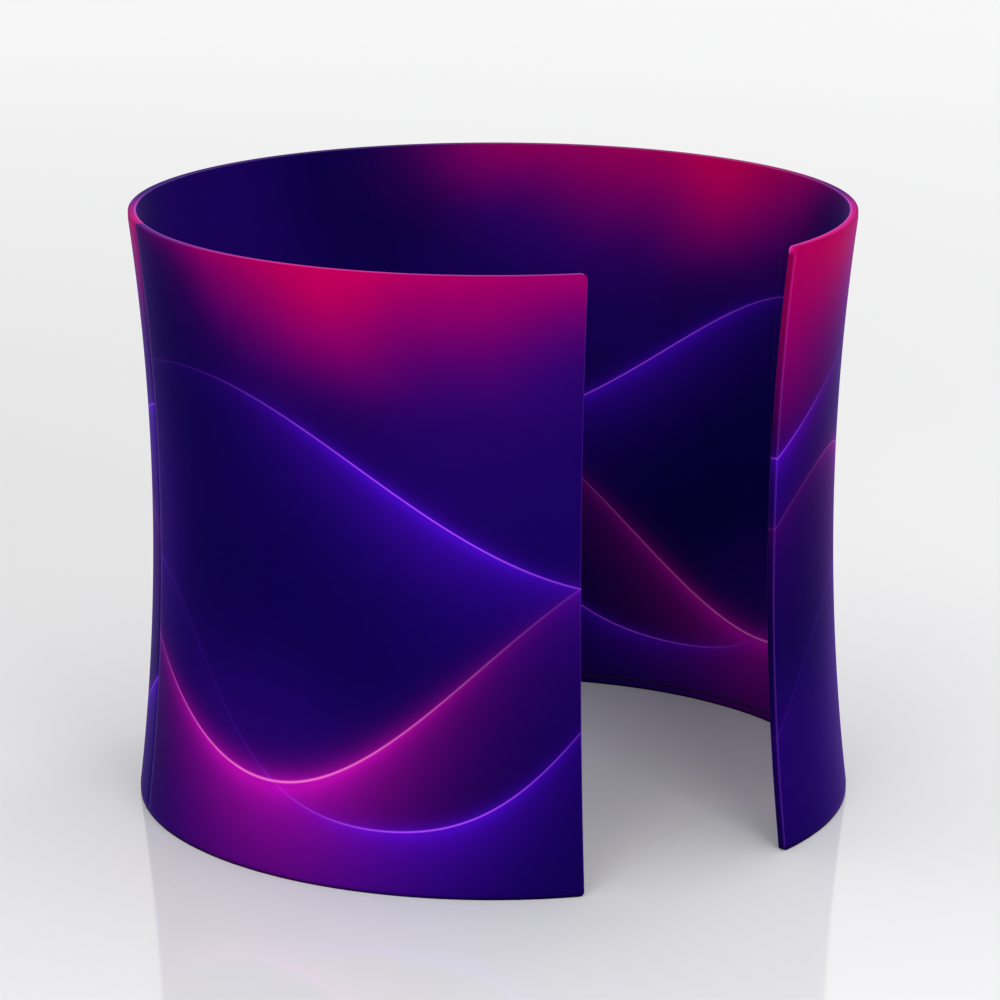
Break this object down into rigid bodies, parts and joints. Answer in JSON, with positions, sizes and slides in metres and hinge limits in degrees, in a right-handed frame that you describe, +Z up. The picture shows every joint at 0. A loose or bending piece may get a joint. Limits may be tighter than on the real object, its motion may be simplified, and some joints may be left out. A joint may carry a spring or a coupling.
{
  "type": "free-standing round fabric display wall",
  "caption": "Free-standing round display wall: a waisted, C-shaped room of printed stretch cloth on a push-fit tube frame, open at a doorway.",
  "frame": {"origin": "centre of the round room at floor level", "axes": "+Z up, -Y out through the middle of the doorway, +X to the right of someone inside who faces the back wall; the wall stands on z = 0"},
  "size_m": [2.9334, 2.8519, 2.44],
  "materials": {
    "tube": "satin anodised",
    "fitting": "moulded nylon",
    "button_steel": "spring steel",
    "cloth_print": "printed stretch knit",
    "cloth_edge": "printed stretch knit",
    "zip_teeth": "nylon coil on woven tape",
    "zip_metal": "black enamel"
  },
  "bodies": {
    "frame_and_cover": {"bottom_hoop_tube_1": "tube", "top_hoop_tube_1": "tube", "bottom_hoop_tube_2": "tube", "top_hoop_tube_2": "tube", "bottom_hoop_tube_3": "tube", "top_hoop_tube_3": "tube", "bottom_hoop_tube_4": "tube", "top_hoop_tube_4": "tube", "bottom_hoop_tube_5": "tube", "top_hoop_tube_5": "tube", "bottom_tee_1": "fitting", "top_tee_1": "fitting", "bottom_tee_2": "fitting", "top_tee_2": "fitting", "bottom_tee_3": "fitting", "top_tee_3": "fitting", "bottom_tee_4": "fitting", "top_tee_4": "fitting", "bottom_corner_right": "fitting", "top_corner_right": "fitting", "bottom_corner_left": "fitting", "top_corner_left": "fitting", "upright_1_lower": "tube", "upright_1_upper": "tube", "upright_2_lower": "tube", "upright_2_upper": "tube", "upright_3_lower": "tube", "upright_3_upper": "tube", "upright_4_lower": "tube", "upright_4_upper": "tube", "upright_5_lower": "tube", "upright_5_upper": "tube", "upright_6_lower": "tube", "upright_6_upper": "tube", "outer_panel_1": "cloth_print", "inner_panel_1": "cloth_print", "outer_panel_2": "cloth_print", "inner_panel_2": "cloth_print", "outer_panel_3": "cloth_print", "inner_panel_3": "cloth_print", "outer_panel_4": "cloth_print", "inner_panel_4": "cloth_print", "edge_gusset": "cloth_edge", "bottom_hem": "cloth_edge", "zip_teeth": "zip_teeth"},
    "upright_1_button": {"upright_1_button": "button_steel"},
    "upright_2_button": {"upright_2_button": "button_steel"},
    "upright_3_button": {"upright_3_button": "button_steel"},
    "upright_4_button": {"upright_4_button": "button_steel"},
    "upright_5_button": {"upright_5_button": "button_steel"},
    "upright_6_button": {"upright_6_button": "button_steel"},
    "zip_slider": {"zip_slider": "zip_metal"},
    "zip_pull": {"zip_pull": "zip_metal"}
  },
  "joints": [
    {"name": "upright_1_button_press", "type": "slide", "parent": "frame_and_cover", "child": "upright_1_button", "axis": [-0.9412, -0.3379, 0], "range_m": [0, 0.0045], "stiffness_N_per_m": 2500},
    {"name": "upright_2_button_press", "type": "slide", "parent": "frame_and_cover", "child": "upright_2_button", "axis": [0.1071, 0.9942, 0], "range_m": [0, 0.0045], "stiffness_N_per_m": 2500},
    {"name": "upright_3_button_press", "type": "slide", "parent": "frame_and_cover", "child": "upright_3_button", "axis": [-0.8476, 0.5307, 0], "range_m": [0, 0.0045], "stiffness_N_per_m": 2500},
    {"name": "upright_4_button_press", "type": "slide", "parent": "frame_and_cover", "child": "upright_4_button", "axis": [-0.8476, -0.5307, 0], "range_m": [0, 0.0045], "stiffness_N_per_m": 2500},
    {"name": "upright_5_button_press", "type": "slide", "parent": "frame_and_cover", "child": "upright_5_button", "axis": [0.1071, -0.9942, 0], "range_m": [0, 0.0045], "stiffness_N_per_m": 2500},
    {"name": "upright_6_button_press", "type": "slide", "parent": "frame_and_cover", "child": "upright_6_button", "axis": [0.9412, -0.3379, 0], "range_m": [0, 0.0045], "stiffness_N_per_m": 2500},
    {"name": "zip_slider_travel", "type": "hinge", "parent": "frame_and_cover", "child": "zip_slider", "pos_m": [0, 0, 0], "axis": [0, 0, -1], "range_deg": [0, 318.5]},
    {"name": "zip_pull_swing", "type": "hinge", "parent": "zip_slider", "child": "zip_pull", "pos_m": [-0.50446, -1.3315, 0.037], "axis": [0, 0, 1], "range_deg": [0, 172]}
  ]
}
